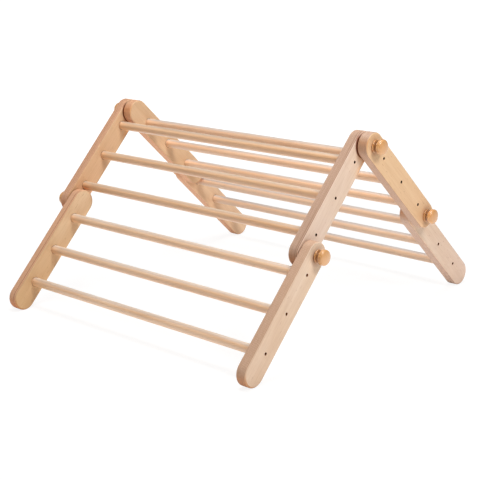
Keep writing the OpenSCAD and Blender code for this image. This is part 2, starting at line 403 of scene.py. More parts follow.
def make_rung():
    s = Shape()
    half = (LADDER_W - 2 * RAIL_T + 2 * SOCKET - 0.001) / 2
    pilot = SCREW_LEN - (RAIL_T - RECESS_DEPTH - SOCKET) + 0.001
    r, e, p = RUNG_R, 0.0012, SCREW_R + FIT
    profile = [(0, -half + pilot), (p, -half + pilot), (p, -half)]
    profile += [(r - e, -half), (r - e * 0.3, -half + e * 0.3), (r, -half + e)]
    n = 36
    profile += [(r, -half + e + (2 * half - 2 * e) * i / n) for i in range(1, n)]
    profile += [(r, half - e), (r - e * 0.3, half - e * 0.3), (r - e, half), (p, half), (p, half - pilot), (0, half - pilot)]
    lathe_into(s, profile, 0, sides=56)
    return s


def thread(r, depth, h0, h1, pitch):
    """Zigzag profile of a thread between two heights."""
    n = int((h1 - h0) / pitch)
    out = []
    for i in range(n):
        h = h0 + (h1 - h0) * i / n
        out += [(r - depth, h + 0.05 * pitch), (r, h + 0.45 * pitch), (r, h + 0.55 * pitch), (r - depth, h + 0.95 * pitch)]
    return out


def hex_socket_head(s, place, r, h, socket_r, socket_h, mats, sides=36):
    """Cap of a screw: rounded rim, flat top and a six-sided socket. The base ring is left for the shank to meet."""
    turn = place.to_3x3()

    def pt(x, y, z):
        return s.point(*(place @ Vector((x, y, z))))

    def nn(x, y, z):
        return turn @ Vector((x, y, z))

    rim = 0.0006
    prof = [(r, 0.0, 1, 0), (r, h - rim, 1, 0)]
    for i in range(1, 5):
        a = (pi / 2) * i / 4
        prof.append((r - rim + rim * cos(a), h - rim + rim * sin(a), cos(a), sin(a)))
    rings = []
    for rr, hh, _, _ in prof:
        rings.append([pt(hh, rr * cos(2 * pi * k / sides), rr * sin(2 * pi * k / sides)) for k in range(sides)])
    for i in range(len(prof) - 1):
        na, nb = prof[i][2:], prof[i + 1][2:]
        for k in range(sides):
            m = (k + 1) % sides
            ak, am = 2 * pi * k / sides, 2 * pi * (k + 1) / sides
            s.face(
                (rings[i][k], rings[i][m], rings[i + 1][m], rings[i + 1][k]), mats[0],
                (nn(na[1], na[0] * cos(ak), na[0] * sin(ak)), nn(na[1], na[0] * cos(am), na[0] * sin(am)),
                 nn(nb[1], nb[0] * cos(am), nb[0] * sin(am)), nn(nb[1], nb[0] * cos(ak), nb[0] * sin(ak))),
            )
    # hexagon rim sampled at the same number of points as the round rim
    def hexagon(k):
        a = 2 * pi * k / sides
        sector = (a % (pi / 3)) - pi / 6
        rad = socket_r * cos(pi / 6) / cos(sector)
        return rad * cos(a), rad * sin(a)

    top = [pt(h, *hexagon(k)) for k in range(sides)]
    low = [pt(h - socket_h, *hexagon(k)) for k in range(sides)]
    mid = pt(h - socket_h - 0.0004, 0, 0)
    for k in range(sides):
        m = (k + 1) % sides
        s.face((rings[-1][k], rings[-1][m], top[m], top[k]), mats[0], (nn(1, 0, 0),) * 4)
        a = 2 * pi * (k + 0.5) / sides
        facet = (math.floor(a / (pi / 3)) + 0.5) * pi / 3
        wall = nn(0, -cos(facet), -sin(facet))
        s.face((top[k], top[m], low[m], low[k]), mats[1], (wall,) * 4)
        s.face((low[k], low[m], mid), mats[1], (nn(1, 0, 0),) * 3)
    return rings[0]


def make_screws():
    s = Shape()
    for side in (-1, 1):
        for d in RUNG_AT:
            place = Matrix.Translation((side * (LADDER_W / 2 - RECESS_DEPTH), 0, -d)) @ (
                Matrix.Identity(4) if side > 0 else Matrix.Rotation(pi, 4, "Z")
            )
            hex_socket_head(s, place, 0.0037, 0.003, 0.00175, 0.002, (0, 0))
            profile = [(0, -SCREW_LEN), (0.0006, -SCREW_LEN + 0.0008), (SCREW_R - 0.0006, -SCREW_LEN + 0.005)]
            profile += thread(SCREW_R, 0.0006, -SCREW_LEN + 0.0052, -0.006, 0.0018)
            profile += [(SCREW_R - 0.0004, -0.0055), (SCREW_R - 0.0004, 0.0), (0.0037, 0.0)]
            lathe_into(s, profile, 0, sides=20, place=place, crease=50)
    return s


# hinge hardware is turned about x, with the outer rail's face at x = 0 and +x pointing outwards
WASHER_T = 0.002
KNOB_LEN, COLLAR_R, COLLAR_H, NECK_R, HEAD_R = 0.0285, 0.0170, 0.0045, 0.0095, 0.0200
HEAD_BACK, CROWN = KNOB_LEN - 0.0158, 0.0022


def arc(cr, ch, r, a0, a1, n=8):
    return [(cr + r * cos(radians(a0 + (a1 - a0) * i / n)), ch + r * sin(radians(a0 + (a1 - a0) * i / n))) for i in range(n + 1)]


def make_knob():
    s = Shape()
    bore_r, bore_h = 0.004 + FIT, KNOB_LEN - 0.008
    w = WASHER_T
    prof = [(0, bore_h), (bore_r, bore_h), (bore_r, 0.0005), (bore_r + 0.0005, 0)]
    prof += arc(COLLAR_R - 0.0015, 0.0015, 0.0015, -90, 0, 6)
    prof += arc(COLLAR_R - 0.0018, COLLAR_H - 0.0018, 0.0018, 0, 90, 7)
    prof += arc(NECK_R + 0.0020, COLLAR_H + 0.0020, 0.0020, -90, -180, 8)
    prof += arc(NECK_R + 0.0020, HEAD_BACK - 0.0020, 0.0020, 180, 90, 8)
    br, hr, rise = 0.0045, 0.0055, 74
    prof += arc(HEAD_R - br, HEAD_BACK + br, br, -90, 0, 12)
    prof += arc(HEAD_R - hr, KNOB_LEN - CROWN - hr * sin(radians(rise)), hr, 0, rise, 12)
    n = 10
    r0, h0 = prof[-1]
    for i in range(1, n):
        t = i / n
        r = r0 * (1 - t)
        prof.append((r, KNOB_LEN - (KNOB_LEN - h0) * (r / r0) ** 2))
    prof.append((0, KNOB_LEN))
    prof = [(r, h + w) for r, h in prof]
    mats = [1] * 3 + [0] * (len(prof) - 4)
    lathe_into(s, prof, mats, sides=80, crease=40)
    return s


def make_stud():
    s = Shape()
    top, low = WASHER_T + KNOB_LEN - 0.010, -(RAIL_T + LANE_GAP + 0.017)
    prof = [(0, low), (0.003, low), (0.0038, low + 0.0008)]
    prof += thread(0.004, 0.0006, low + 0.001, -RAIL_T + 0.004, 0.00125)
    prof += [(0.0037, -RAIL_T + 0.005), (0.0037, 0.001)]
    prof += thread(0.004, 0.0006, 0.0015, top - 0.001, 0.00125)
    prof += [(0.0038, top - 0.0008), (0.003, top), (0, top)]
    lathe_into(s, prof, 0, sides=28, crease=50)
    return s


def ring_profile(r_in, r_out, h0, h1, e):
    return [
        (r_in + e, h0), (r_out - e, h0), (r_out - e * 0.3, h0 + e * 0.3), (r_out, h0 + e), (r_out, h1 - e),
        (r_out - e * 0.3, h1 - e * 0.3), (r_out - e, h1), (r_in + e, h1), (r_in, h1 - e), (r_in, h0 + e), (r_in + e, h0),
    ]


def make_ring(r_in, r_out, h0, h1, e, sides=56):
    """A closed ring: the profile ends where it starts, and both ends share one set of points."""
    s = Shape()
    prof = ring_profile(r_in, r_out, h0, h1, e)[:-1]
    n = len(prof)
    seg = []
    for i in range(n):
        (r0, a), (r1, b) = prof[i], prof[(i + 1) % n]
        d = Vector((r1 - r0, b - a)).normalized()
        seg.append((d.y, -d.x))
    rings = [[s.point(h, r * cos(2 * pi * k / sides), r * sin(2 * pi * k / sides)) for k in range(sides)] for r, h in prof]
    for i in range(n):
        j = (i + 1) % n
        nr, nh = seg[i]
        for k in range(sides):
            m = (k + 1) % sides
            ak, am = 2 * pi * k / sides, 2 * pi * (k + 1) / sides
            na, nb = (nh, nr * cos(ak), nr * sin(ak)), (nh, nr * cos(am), nr * sin(am))
            s.face((rings[i][k], rings[i][m], rings[j][m], rings[j][k]), 0, (na, nb, nb, na))
    return s


def make_insert():
    s = Shape()
    base = -(RAIL_T + LANE_GAP) - 0.018
    r_in, r = 0.004 + FIT, 0.006
    outer = [(r - 0.001, base), (r - 0.001, base + 0.001)]
    for i in range(4):
        h = base + 0.0015 + i * 0.0036
        outer += [(r - 0.001, h), (r, h + 0.0022), (r, h + 0.0028), (r - 0.001, h + 0.003)]
    top = base + 0.018
    outer += [(r - 0.001, top - 0.0015), (r, top - 0.0012), (r, top - 0.0003), (r - 0.0003, top)]
    prof = outer + [(r_in + 0.0005, top), (r_in, top - 0.0005), (r_in, base + 0.0003), (r_in + 0.0003, base)]
    sides = 40
    n = len(prof)
    rings = [[s.point(h, q * cos(2 * pi * k / sides), q * sin(2 * pi * k / sides)) for k in range(sides)] for q, h in prof]
    for i in range(n):
        j = (i + 1) % n
        d = Vector((prof[j][0] - prof[i][0], prof[j][1] - prof[i][1])).normalized()
        for k in range(sides):
            m = (k + 1) % sides
            ak, am = 2 * pi * k / sides, 2 * pi * (k + 1) / sides
            na, nb = (-d.x, d.y * cos(ak), d.y * sin(ak)), (-d.x, d.y * cos(am), d.y * sin(am))
            s.face((rings[i][k], rings[i][m], rings[j][m], rings[j][k]), 0, (na, nb, nb, na))
    return s


# ----------------------------------------------------------------------------
# materials
# ----------------------------------------------------------------------------
class Nodes:
    def __init__(self, name):
        self.mat = bpy.data.materials.new(name)
        self.mat.use_nodes = True
        self.tree = self.mat.node_tree
        self.tree.nodes.clear()
        self.out = self.add("ShaderNodeOutputMaterial")
        self.bsdf = self.add("ShaderNodeBsdfPrincipled")
        self.link(self.bsdf.outputs[0], self.out.inputs["Surface"])

    def add(self, kind, **settings):
        n = self.tree.nodes.new(kind)
        for k, v in settings.items():
            setattr(n, k, v)
        return n

    def link(self, a, b):
        self.tree.links.new(a, b)

    def put(self, socket, value):
        if hasattr(value, "is_output"):
            self.link(value, socket)
        elif value is not None:
            socket.default_value = value

    def math(self, op, a, b=None, c=None, clamp=False):
        n = self.add("ShaderNodeMath", operation=op, use_clamp=clamp)
        self.put(n.inputs[0], a)
        if b is not None:
            self.put(n.inputs[1], b)
        if c is not None:
            self.put(n.inputs[2], c)
        return n.outputs[0]

    def mix(self, fac, a, b, blend="MIX"):
        n = self.add("ShaderNodeMix", data_type="RGBA", blend_type=blend)
        self.put(n.inputs[0], fac)
        self.put(n.inputs[6], a)
        self.put(n.inputs[7], b)
        return n.outputs[2]

    def ramp(self, value, stops, smooth=False):
        n = self.add("ShaderNodeValToRGB")
        els = n.color_ramp.elements
        while len(els) < len(stops):
            els.new(0.5)
        for e, (p, c) in zip(els, stops):
            e.position = p
            e.color = c if isinstance(c, tuple) else (c, c, c, 1)
        if smooth:
            n.color_ramp.interpolation = "EASE"
        self.link(value, n.inputs[0])
        return n.outputs[0]

    def range(self, value, a, b, c, d):
        n = self.add("ShaderNodeMapRange")
        self.put(n.inputs[0], value)
        for i, v in zip((1, 2, 3, 4), (a, b, c, d)):
            n.inputs[i].default_value = v
        return n.outputs[0]

    def own(self):
        return self.add("ShaderNodeAttribute", attribute_name="own").outputs["Vector"]

    def coords(self, scale, offset_by_seed=True):
        """The piece's own axes, moved by its seed, then stretched."""
        vec = self.own()
        if offset_by_seed:
            at = self.add("ShaderNodeAttribute", attribute_name="seed")
            mul = self.add("ShaderNodeVectorMath", operation="SCALE")
            mul.inputs[0].default_value = (0.37, 0.73, 1.31)
            self.link(at.outputs["Fac"], mul.inputs["Scale"])
            ad = self.add("ShaderNodeVectorMath", operation="ADD")
            self.link(vec, ad.inputs[0])
            self.link(mul.outputs[0], ad.inputs[1])
            vec = ad.outputs[0]
        mp = self.add("ShaderNodeVectorMath", operation="MULTIPLY")
        self.link(vec, mp.inputs[0])
        mp.inputs[1].default_value = scale
        return mp.outputs[0]

    def noise(self, vec, scale, detail=3.0, rough=0.5, distortion=0.0):
        n = self.add("ShaderNodeTexNoise")
        self.link(vec, n.inputs["Vector"])
        n.inputs["Scale"].default_value = scale
        n.inputs["Detail"].default_value = detail
        n.inputs["Roughness"].default_value = rough
        n.inputs["Distortion"].default_value = distortion
        return n.outputs[0]

    def tinted(self, colour, label="tint"):
        """The colour times a factor stored on the piece: its own tone, which on the rails and in the holes also holds
        painted shade.
        """
        own_tone = self.add("ShaderNodeAttribute", attribute_name=label).outputs["Color"]
        return self.mix(1.0, colour, own_tone, "MULTIPLY")

    def height(self):
        """How high a point lies over the middle of the piece's own axes, with the triangle set up."""
        dot = self.add("ShaderNodeVectorMath", operation="DOT_PRODUCT")
        self.link(self.own(), dot.inputs[0])
        self.link(self.add("ShaderNodeAttribute", attribute_name="lift").outputs["Vector"], dot.inputs[1])
        return dot.outputs["Value"]

    def with_painted_shade(self, colour):
        """The colour with painted shade: darker where another rail lies close against this one, with a painted warm
        bounce light beside the crossing below the apex, and a painted shadow in a soft ring round a knob.
        """
        at, face, knob = (self.add("ShaderNodeSeparateXYZ") for _ in range(3))
        self.link(self.own(), at.inputs[0])
        self.link(self.add("ShaderNodeAttribute", attribute_name="mates").outputs["Vector"], face.inputs[0])
        self.link(self.add("ShaderNodeAttribute", attribute_name="knobs").outputs["Vector"], knob.inputs[0])
        # painted gap shade: strong at the apex and faint at the lower hinge
        for name, z, strength in (("X", 0.0, 0.90), ("Y", PITCH, 0.20)):
            out = self.math("MULTIPLY", at.outputs["X"], face.outputs[name])
            painted_gap_strength = self.range(out, RAIL_T / 2 - ROUND * 0.75, RAIL_T / 2 - ROUND * 0.15, 0.0, strength)
            up = self.math("ADD", at.outputs["Z"], z)
            square = self.math("ADD", self.math("MULTIPLY", up, up), self.math("MULTIPLY", at.outputs["Y"], at.outputs["Y"]))
            gap_shade_reach = self.range(self.math("SQRT", square), RAIL_R * 0.97, RAIL_R * 1.05, 1.0, 0.0)
            if name == "X":
                # below the apex the painted shade line runs on along the edge that crosses the other rail
                beside = self.range(self.math("MULTIPLY", at.outputs["Y"], face.outputs["X"]), RAIL_R - 0.0040, RAIL_R - 0.0025, 0.0, 0.9)
                along = self.math("MULTIPLY", self.range(up, -0.080, -0.066, 0.0, 1.0), beside)
                gap_shade_reach = self.math("MAXIMUM", gap_shade_reach, along)
                # and beside it a warm tone is painted, standing in for the light the two rails throw at each other
                inward = self.math("MULTIPLY", at.outputs["Y"], face.outputs["X"])
                side = self.math("MULTIPLY", self.range(inward, RAIL_R - 0.018, RAIL_R - 0.006, 0.0, 1.0),
                                 self.range(up, -0.092, -0.062, 0.0, 1.0))
                round_it = self.math("MULTIPLY", self.range(self.math("SQRT", square), RAIL_R, RAIL_R + 0.014, 1.0, 0.0),
                                     self.range(inward, -0.020, 0.012, 0.0, 1.0))
                # painted warm bounce light
                warm = self.math("MULTIPLY", painted_gap_strength, self.math("MAXIMUM", side, round_it))
                colour = self.mix(warm, colour, self.mix(1.0, colour, (1.03, 0.84, 0.62, 1.0), "MULTIPLY"))
                # light falls into the top of the gap
                gap_shade_reach = self.math("MULTIPLY", gap_shade_reach, self.range(self.height(), 0.020, 0.032, 1.0, 0.25))
            # painted shade: a dark reddish brown where another rail lies close against this face
            colour = self.mix(self.math("MULTIPLY", painted_gap_strength, gap_shade_reach), colour, srgb(146, 68, 26))
            # painted shadow: a soft dark ring round a knob's collar on the rail face, strongest below it
            on = self.range(self.math("MULTIPLY", at.outputs["X"], knob.outputs[name]), RAIL_T / 2 - 0.0006, RAIL_T / 2 - 0.0003, 0.0, 1.0)
            away = self.math("SQRT", square)
            ring = self.range(away, 0.0165, 0.0290, 0.62, 0.0)
            below = self.range(self.math("DIVIDE", up, self.math("MAXIMUM", away, 0.001)), -0.9, 0.5, 1.0, 0.22)
            shadow = self.math("MULTIPLY", self.math("MULTIPLY", on, ring), below)
            colour = self.mix(shadow, colour, srgb(150, 98, 54))
        return colour

    def bump(self, height, strength, distance):
        b = self.add("ShaderNodeBump")
        b.inputs["Strength"].default_value = strength
        b.inputs["Distance"].default_value = distance
        self.link(height, b.inputs["Height"])
        self.link(b.outputs[0], self.bsdf.inputs["Normal"])
        return b


def srgb(r, g, b):
    def lin(v):
        v /= 255
        return v / 12.92 if v <= 0.04045 else ((v + 0.055) / 1.055) ** 2.4
    return (lin(r), lin(g), lin(b), 1.0)


def face_material():
    """Rotary-cut birch veneer: pale, with soft bands, fine pores along the length and a few dark flecks."""
    m = Nodes("birch_face")
    long = m.coords((1.0, 1.0, 0.10))
    fine = m.coords((1.0, 1.0, 0.030))
    bands = m.noise(long, 26.0, 4.0, 0.55, 1.6)
    pores = m.noise(fine, 900.0, 2.0, 0.6)
    pores2 = m.noise(fine, 320.0, 3.0, 0.55, 0.3)
    cloud = m.noise(m.coords((1.0, 1.0, 0.5)), 7.0, 2.0, 0.5)
    base = m.ramp(bands, [(0.30, srgb(226, 200, 176)), (0.50, srgb(233, 209, 186)), (0.68, srgb(238, 217, 196))])
    warm = m.mix(m.range(cloud, 0.35, 0.65, 0.0, 1.0), base, srgb(232, 204, 172))
    col = m.mix(0.45, base, warm)
    col = m.mix(m.range(pores2, 0.45, 0.75, 0.0, 0.30), col, srgb(206, 172, 140))
    col = m.mix(m.range(pores, 0.62, 0.80, 0.0, 0.35), col, srgb(188, 150, 116))
    # sparse short flecks
    fl = m.noise(m.coords((1.0, 1.0, 0.16)), 420.0, 0.0, 0.5)
    col = m.mix(m.range(fl, 0.78, 0.84, 0.0, 0.45), col, srgb(170, 120, 82))
    m.put(m.bsdf.inputs["Base Color"], m.with_painted_shade(m.tinted(col)))
    m.put(m.bsdf.inputs["Roughness"], m.range(pores2, 0.2, 0.8, 0.46, 0.60))
    m.bsdf.inputs["Specular IOR Level"].default_value = 0.35
    m.bump(m.math("ADD", m.math("MULTIPLY", pores, 0.6), m.math("MULTIPLY", pores2, 0.4)), 0.12, 0.0004)
    return m.mat


def edge_material():
    """Sanded plywood edge. Plies lie across x: every other one shows its end grain and is darker, and at the
    rounded ends of a rail the two kinds change places. A few plies are much darker, and the glue lines are thin."""
    m = Nodes("birch_edge")
    sep = m.add("ShaderNodeSeparateXYZ")
    m.link(m.own(), sep.inputs[0])
    wobble = m.noise(m.coords((1.0, 1.0, 1.0)), 30.0, 2.0, 0.5)
    x = m.math("ADD", sep.outputs["X"], m.math("MULTIPLY", m.math("SUBTRACT", wobble, 0.5), 0.0006))
    plies = 17.0
    u = m.math("MULTIPLY", m.math("ADD", x, RAIL_T / 2), plies / RAIL_T)
    index = m.math("FLOOR", u)
    frac = m.math("FRACT", u)
    seed = m.add("ShaderNodeAttribute", attribute_name="seed").outputs["Fac"]
    wn = m.add("ShaderNodeTexWhiteNoise", noise_dimensions="2D")
    cmb = m.add("ShaderNodeCombineXYZ")
    m.link(index, cmb.inputs[0])
    m.link(m.math("MULTIPLY", seed, 7.13), cmb.inputs[1])
    m.link(cmb.outputs[0], wn.inputs["Vector"])
    ply_random = wn.outputs["Value"]
    # 0 along the straight edges, 1 at the tips of the rounded ends
    beyond = m.math("MAXIMUM", sep.outputs["Z"], m.math("SUBTRACT", -PITCH, sep.outputs["Z"]))
    tip = m.range(beyond, RAIL_R * 0.35, RAIL_R * 0.9, 0.0, 1.0)
    odd = m.math("FLOORED_MODULO", index, 2.0)
    end_grain = m.math("ABSOLUTE", m.math("SUBTRACT", odd, tip))
    streak = m.noise(m.coords((1.0, 1.0, 1.0)), 600.0, 3.0, 0.6)
    long_streak = m.noise(m.coords((1.6, 0.08, 0.08)), 700.0, 2.0, 0.6)
    light = m.mix(m.range(long_streak, 0.3, 0.7, 0.0, 1.0), srgb(221, 190, 166), srgb(236, 208, 185))
    dark = m.mix(m.range(streak, 0.3, 0.7, 0.0, 1.0), srgb(192, 151, 125), srgb(213, 175, 148))
    col = m.mix(end_grain, light, dark)
    col = m.mix(m.math("MULTIPLY", ply_random, 0.22), col, srgb(192, 145, 115))
    # dark plies come and go along the rail
    fade = m.range(m.noise(m.coords((1.0, 1.0, 0.35)), 14.0, 1.0, 0.5), 0.38, 0.60, 0.25, 1.0)
    named = m.add("ShaderNodeSeparateXYZ")
    m.link(m.add("ShaderNodeAttribute", attribute_name="plies").outputs["Vector"], named.inputs[0])
    one = m.math("COMPARE", index, named.outputs["X"], 0.4)
    two = m.math("COMPARE", index, named.outputs["Y"], 0.4)
    chosen = m.math("MULTIPLY", m.math("MAXIMUM", one, two), named.outputs["Z"])
    col = m.mix(m.math("MULTIPLY", chosen, fade), col, srgb(153, 105, 79))
    near = m.math("ABSOLUTE", m.math("SUBTRACT", frac, 0.5))
    glue = m.range(near, 0.42, 0.48, 0.0, 1.0)
    col = m.mix(m.math("MULTIPLY", glue, 0.45), col, srgb(145, 100, 75))
    # the outermost ply is the face veneer, seen on the rounded arris
    skin = m.range(m.math("ABSOLUTE", sep.outputs["X"]), RAIL_T / 2 - 0.0019, RAIL_T / 2 - 0.0016, 0.0, 1.0)
    veneer = m.mix(m.range(long_streak, 0.3, 0.7, 0.0, 1.0), srgb(222, 195, 170), srgb(232, 208, 185))
    col = m.mix(skin, m.tinted(col, "rim"), m.tinted(veneer))
    # the rounded ends are darker, partly the tone of their end grain and partly painted shade; their upper side, where
    # light falls, is left lighter
    col = m.mix(m.math("MULTIPLY", tip, m.range(m.height(), 0.014, 0.028, 1.0, 0.0)), col, m.mix(1.0, col, (0.97, 0.79, 0.62, 1.0), "MULTIPLY"))
    # painted shade: the underside of each lower end is darker, as it is turned away from the light
    painted_underside_shade = m.range(m.math("SUBTRACT", -PITCH, sep.outputs["Z"]), RAIL_R * 0.55, RAIL_R * 0.98, 0.0, 1.0)
    col = m.mix(painted_underside_shade, col, m.mix(1.0, col, (0.84, 0.74, 0.68, 1.0), "MULTIPLY"))
    m.put(m.bsdf.inputs["Base Color"], m.with_painted_shade(col))
    m.put(m.bsdf.inputs["Roughness"], m.range(streak, 0.2, 0.8, 0.50, 0.68))
    m.bsdf.inputs["Specular IOR Level"].default_value = 0.30
    height = m.math("SUBTRACT", m.math("MULTIPLY", streak, 0.5), m.math("MULTIPLY", glue, 0.5))
    m.bump(height, 0.16, 0.0004)
    return m.mat


def bore_material():
    """Inside of a bored hole in plywood: a dark brown that is partly the torn end grain's own colour and partly
    painted shade of the recess.
    """
    m = Nodes("bore_wall")
    n = m.noise(m.coords((1.0, 1.0, 1.0)), 900.0, 3.0, 0.6)
    col = m.ramp(n, [(0.3, srgb(70, 34, 12)), (0.7, srgb(104, 56, 24))])
    # painted shade: the wall's dark brown, made lighter or darker for each ladder by its factor
    m.put(m.bsdf.inputs["Base Color"], m.tinted(col, "hole_shade"))
    m.put(m.bsdf.inputs["Roughness"], m.range(n, 0.2, 0.8, 0.75, 0.95))
    m.bsdf.inputs["Specular IOR Level"].default_value = 0.10
    m.bump(n, 0.3, 0.0004)
    return m.mat


def rung_material():
    """Turned dowel: straight fine grain along x, with small rays and slow tone changes, and a painted highlight on its
    upper side with painted shade below.
    """
    m = Nodes("rung_dowel")
    long = m.coords((0.05, 1.0, 1.0))
    fine = m.coords((0.02, 1.0, 1.0))
    bands = m.noise(long, 90.0, 3.0, 0.55, 0.8)
    pores = m.noise(fine, 1300.0, 2.0, 0.6)
    rays = m.noise(m.coords((0.25, 1.0, 1.0)), 900.0, 0.0, 0.5)
    slow = m.noise(m.coords((1.0, 0.2, 0.2)), 5.0, 2.0, 0.5)
    col = m.ramp(bands, [(0.28, srgb(220, 188, 160)), (0.5, srgb(229, 200, 176)), (0.72, srgb(236, 211, 190))])
    col = m.mix(m.range(slow, 0.3, 0.7, 0.0, 0.35), col, srgb(226, 188, 160))
    col = m.mix(m.range(pores, 0.58, 0.80, 0.0, 0.35), col, srgb(190, 148, 116))
    col = m.mix(m.range(rays, 0.76, 0.84, 0.0, 0.35), col, srgb(176, 126, 92))
    # painted highlight and shade: the upper side is painted pale and cool, as light from above would make it, and the
    # underside a warmer, darker tone
    turned = m.range(m.math("ADD", m.height(), m.math("MULTIPLY", m.math("SUBTRACT", slow, 0.5), 0.002)),
                     -RUNG_R, RUNG_R, 0.0, 1.0)
    side = m.ramp(turned, [(0.49, (0.97, 0.86, 0.72, 1)), (0.80, (1.25, 1.15, 1.04, 1)), (0.95, (0.94, 1.02, 1.17, 1)),
                           (0.99, (1.03, 1.22, 1.47, 1))])
    m.put(m.bsdf.inputs["Base Color"], m.mix(1.0, m.tinted(col), side, "MULTIPLY"))
    m.put(m.bsdf.inputs["Roughness"], m.range(pores, 0.2, 0.8, 0.34, 0.46))
    m.bsdf.inputs["Specular IOR Level"].default_value = 0.60
    m.bsdf.inputs["Coat Weight"].default_value = 1.0
    m.bsdf.inputs["Coat IOR"].default_value = 1.7
    m.bsdf.inputs["Coat Roughness"].default_value = 0.34
    m.bump(m.math("ADD", m.math("MULTIPLY", pores, 0.7), m.math("MULTIPLY", bands, 0.3)), 0.10, 0.0004)
    return m.mat


def knob_material():
    """Honey-lacquered turned hardwood: growth rings across the head, fine pores, turning marks and a satin coat."""
    m = Nodes("knob_honey")
    vec = m.coords((1.0, 1.0, 0.35))
    rings = m.add("ShaderNodeTexWave", wave_type="BANDS", bands_direction="Y", wave_profile="SIN")
    m.link(m.coords((1.0, 1.0, 0.22)), rings.inputs["Vector"])
    rings.inputs["Scale"].default_value = 95.0
    rings.inputs["Distortion"].default_value = 3.4
    rings.inputs["Detail"].default_value = 2.0
    rings.inputs["Detail Scale"].default_value = 1.2
    pores = m.noise(m.coords((1.0, 1.0, 0.06)), 1500.0, 2.0, 0.6)
    cloud = m.noise(vec, 60.0, 2.0, 0.5)
    col = m.ramp(rings.outputs["Fac"], [(0.0, srgb(216, 152, 92)), (0.5, srgb(230, 169, 106)), (1.0, srgb(238, 184, 120))])
    col = m.mix(m.range(cloud, 0.35, 0.65, 0.0, 0.35), col, srgb(222, 156, 94))
    col = m.mix(m.range(pores, 0.60, 0.80, 0.0, 0.40), col, srgb(162, 106, 60))
    # painted shade: the waist and the underside of the head are painted darker, where the head shades them
    sep = m.add("ShaderNodeSeparateXYZ")
    m.link(m.own(), sep.inputs[0])
    low = m.range(sep.outputs["X"], WASHER_T + COLLAR_H - 0.0016, WASHER_T + COLLAR_H - 0.0002, 0.0, 1.0)
    high = m.range(sep.outputs["X"], WASHER_T + HEAD_BACK + 0.0004, WASHER_T + HEAD_BACK + 0.0030, 1.0, 0.0)
    painted_waist_shade = m.math("MULTIPLY", low, high)
    col = m.mix(m.math("MULTIPLY", painted_waist_shade, 0.50), col, srgb(128, 76, 38))
    m.put(m.bsdf.inputs["Base Color"], col)
    m.put(m.bsdf.inputs["Roughness"], m.range(cloud, 0.2, 0.8, 0.30, 0.40))
    m.bsdf.inputs["Specular IOR Level"].default_value = 0.5
    m.bsdf.inputs["Coat Weight"].default_value = 1.0
    m.bsdf.inputs["Coat Roughness"].default_value = 0.20
    m.bump(m.math("ADD", m.math("MULTIPLY", pores, 0.6), m.math("MULTIPLY", rings.outputs["Fac"], 0.2)), 0.08, 0.0003)
    return m.mat


def metal_material(name, low, high, rough, scratch=700.0):
    m = Nodes(name)
    n = m.noise(m.coords((1.0, 1.0, 1.0)), scratch, 3.0, 0.6)
    cloud = m.noise(m.coords((1.0, 1.0, 1.0)), 90.0, 2.0, 0.5)
    col = m.mix(m.range(cloud, 0.3, 0.7, 0.0, 1.0), low, high)
    m.put(m.bsdf.inputs["Base Color"], col)
    m.bsdf.inputs["Metallic"].default_value = 1.0
    m.put(m.bsdf.inputs["Roughness"], m.range(n, 0.2, 0.8, rough - 0.07, rough + 0.07))
    m.bump(n, 0.06, 0.0002)
    return m.mat


def nylon_material():
    m = Nodes("spacer_nylon")
    n = m.noise(m.coords((1.0, 1.0, 1.0)), 1200.0, 2.0, 0.6)
    m.put(m.bsdf.inputs["Base Color"], m.ramp(n, [(0.3, srgb(62, 36, 22)), (0.7, srgb(78, 47, 30))]))
    m.put(m.bsdf.inputs["Roughness"], m.range(n, 0.2, 0.8, 0.55, 0.70))
    m.bump(n, 0.10, 0.0003)
    return m.mat


M_FACE, M_EDGE, M_BORE = face_material(), edge_material(), bore_material()
M_RUNG, M_KNOB = rung_material(), knob_material()
# the screw heads' near-black brown is partly their dark finish and partly painted shade of the recess they sit in
M_SCREW = metal_material("screw_dark", srgb(24, 12, 5), srgb(38, 20, 9), 0.60)
M_ZINC = metal_material("zinc_steel", srgb(176, 178, 182), srgb(198, 200, 203), 0.32)
M_BRASS = metal_material("brass_insert", srgb(196, 160, 88), srgb(212, 178, 106), 0.34)
M_NYLON = nylon_material()

# ----------------------------------------------------------------------------
# pieces
# ----------------------------------------------------------------------------
# colour factors for red, green and blue: for each rail its faces at the upper and at the lower end
# and its cut edge, and for the rungs of each ladder. Besides each board's own tone the rail factors hold painted
# shade: the left rails' inner faces darker and warmer, and most lower ends darker
RAIL_TONE_AND_SHADE = {
    "front_upper_rail_right": ((1.07, 1.05, 1.08), (1.07, 1.05, 1.08), (0.85, 0.81, 0.79)),
    "front_lower_rail_right": ((1.07, 1.04, 1.01), (0.98, 0.88, 0.80), (0.98, 0.92, 0.86)),
    "rear_upper_rail_right": ((1.08, 0.92, 0.69), (1.11, 0.93, 0.72), (0.91, 0.89, 0.89)),
    "rear_lower_rail_right": ((1.05, 0.99, 0.92), (1.07, 1.00, 1.02), (0.96, 0.99, 1.05)),
    "front_upper_rail_left": ((0.99, 0.86, 0.69), (0.91, 0.70, 0.50), (1.06, 0.86, 0.71)),
    "front_lower_rail_left": ((0.95, 0.83, 0.65), (0.84, 0.69, 0.48), (1.14, 0.94, 0.77)),
    "rear_upper_rail_left": ((1.00, 0.84, 0.65), (0.99, 0.84, 0.67), (1.16, 0.95, 0.77)),
    "rear_lower_rail_left": ((1.10, 0.95, 0.79), (1.10, 0.95, 0.79), (1.16, 0.95, 0.78)),
}
RUNG_TINT = {
    "front_upper": (0.98, 0.87, 0.71), "front_lower": (1.09, 1.04, 0.94),
    "rear_upper": (1.00, 0.97, 0.92), "rear_lower": (0.90, 0.91, 0.91),
}
# dark plies, counted from the -x face, and how strongly they show
RAIL_PLIES = {
    "front_upper_rail_right": (15, 12, 0.55), "front_lower_rail_right": (1, -1, 0.60),
    "front_upper_rail_left": (3, 7, 0.65), "front_lower_rail_left": (12, 1, 0.75),
    "rear_upper_rail_left": (4, -1, 0.30), "rear_lower_rail_left": (12, -1, 0.30),
}
